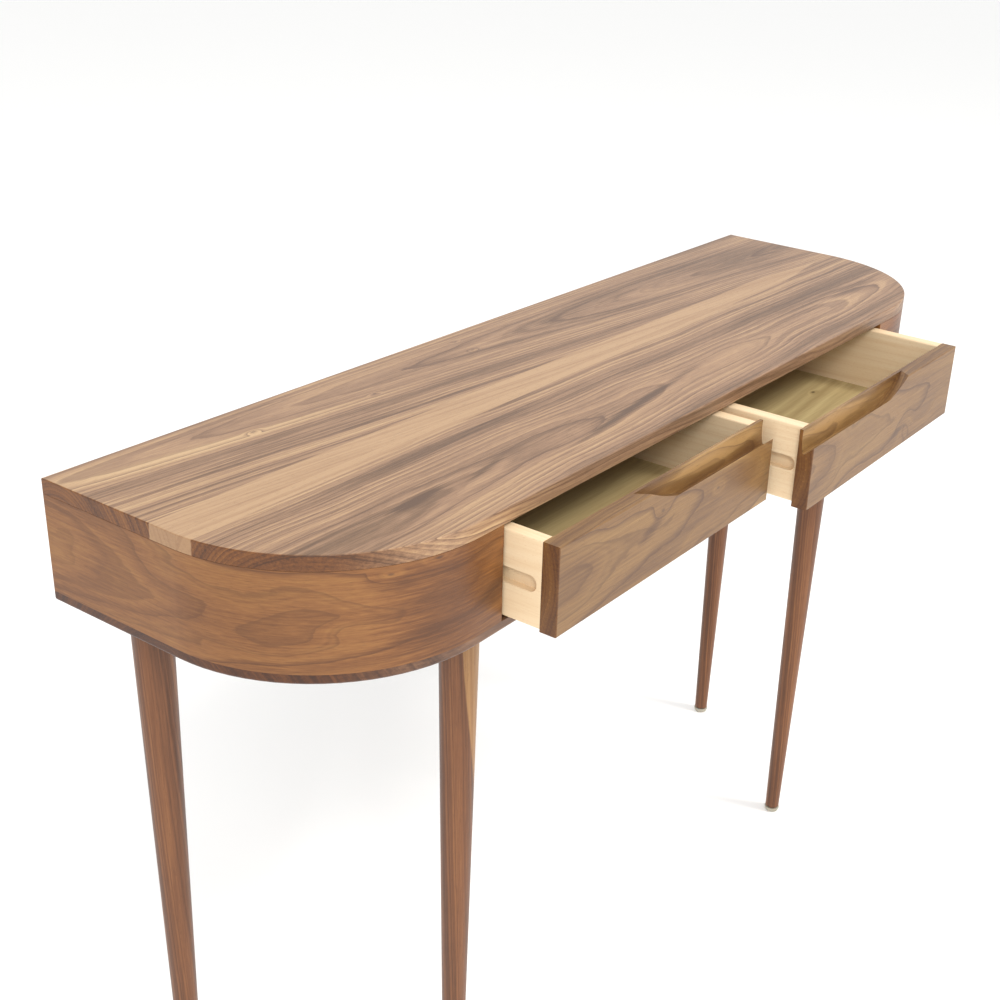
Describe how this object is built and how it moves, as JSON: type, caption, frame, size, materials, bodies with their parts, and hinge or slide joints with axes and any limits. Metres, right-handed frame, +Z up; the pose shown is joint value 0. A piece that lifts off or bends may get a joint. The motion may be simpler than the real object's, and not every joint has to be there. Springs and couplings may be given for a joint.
{
  "type": "console table",
  "caption": "D-shaped walnut console table with bent sides, a pair of drawers sharing one scooped pull, and round tapered legs on adjustable glides.",
  "frame": {"origin": "on the floor, under the middle of the case in length and depth", "axes": "+X along the table to the right, +Y to the rear, +Z up"},
  "size_m": [1.2, 0.443, 0.785],
  "materials": {
    "walnut_top": "satin lacquered walnut, long grain along the table",
    "walnut_front": "satin lacquered walnut, flat-sawn figure",
    "walnut_bent": "satin lacquered bent walnut",
    "walnut_panel": "satin lacquered walnut panel",
    "walnut_leg": "turned walnut, satin lacquer",
    "beech": "sanded beech, clear matt lacquer",
    "poplar_plywood": "poplar plywood, clear matt lacquer",
    "grey_nylon": "moulded grey nylon",
    "zinc_steel": "zinc-plated steel",
    "screw_steel": "yellow-passivated zinc-plated steel"
  },
  "bodies": {
    "case": {"back_panel": "walnut_panel", "bottom_panel": "walnut_panel", "center_divider": "walnut_panel", "front_left_leg": "walnut_leg", "front_right_leg": "walnut_leg", "left_curved_side": "walnut_bent", "left_drawer_inner_runner": "beech", "left_drawer_outer_runner": "beech", "left_guide_panel": "walnut_panel", "leg_hanger_bolts": "zinc_steel", "leg_inserts": "zinc_steel", "leg_t_nuts": "zinc_steel", "rear_left_leg": "walnut_leg", "rear_right_leg": "walnut_leg", "right_curved_side": "walnut_bent", "right_drawer_inner_runner": "beech", "right_drawer_outer_runner": "beech", "right_guide_panel": "walnut_panel", "runner_screws": "screw_steel", "top_board_front": "walnut_top", "top_board_rear": "walnut_top"},
    "left_drawer": {"left_drawer_back": "beech", "left_drawer_bottom": "poplar_plywood", "left_drawer_dowels": "beech", "left_drawer_front": "walnut_front", "left_drawer_inner_side": "beech", "left_drawer_outer_side": "beech"},
    "right_drawer": {"right_drawer_back": "beech", "right_drawer_bottom": "poplar_plywood", "right_drawer_dowels": "beech", "right_drawer_front": "walnut_front", "right_drawer_inner_side": "beech", "right_drawer_outer_side": "beech"},
    "front_left_glide": {"front_left_glide_foot": "grey_nylon", "front_left_glide_stem": "zinc_steel"},
    "front_right_glide": {"front_right_glide_foot": "grey_nylon", "front_right_glide_stem": "zinc_steel"},
    "rear_left_glide": {"rear_left_glide_foot": "grey_nylon", "rear_left_glide_stem": "zinc_steel"},
    "rear_right_glide": {"rear_right_glide_foot": "grey_nylon", "rear_right_glide_stem": "zinc_steel"}
  },
  "joints": [
    {"name": "left_drawer_slide", "type": "slide", "parent": "case", "child": "left_drawer", "axis": [0, -1, 0], "range_m": [-0.057, 0.163]},
    {"name": "right_drawer_slide", "type": "slide", "parent": "case", "child": "right_drawer", "axis": [0, -1, 0], "range_m": [-0.103, 0.117]},
    {"name": "front_left_glide_screw", "type": "slide", "parent": "case", "child": "front_left_glide", "axis": [0, 0, -1], "range_m": [0, 0.01]},
    {"name": "front_right_glide_screw", "type": "slide", "parent": "case", "child": "front_right_glide", "axis": [0, 0, -1], "range_m": [0, 0.01]},
    {"name": "rear_left_glide_screw", "type": "slide", "parent": "case", "child": "rear_left_glide", "axis": [0, 0, -1], "range_m": [0, 0.01]},
    {"name": "rear_right_glide_screw", "type": "slide", "parent": "case", "child": "rear_right_glide", "axis": [0, 0, -1], "range_m": [0, 0.01]}
  ]
}
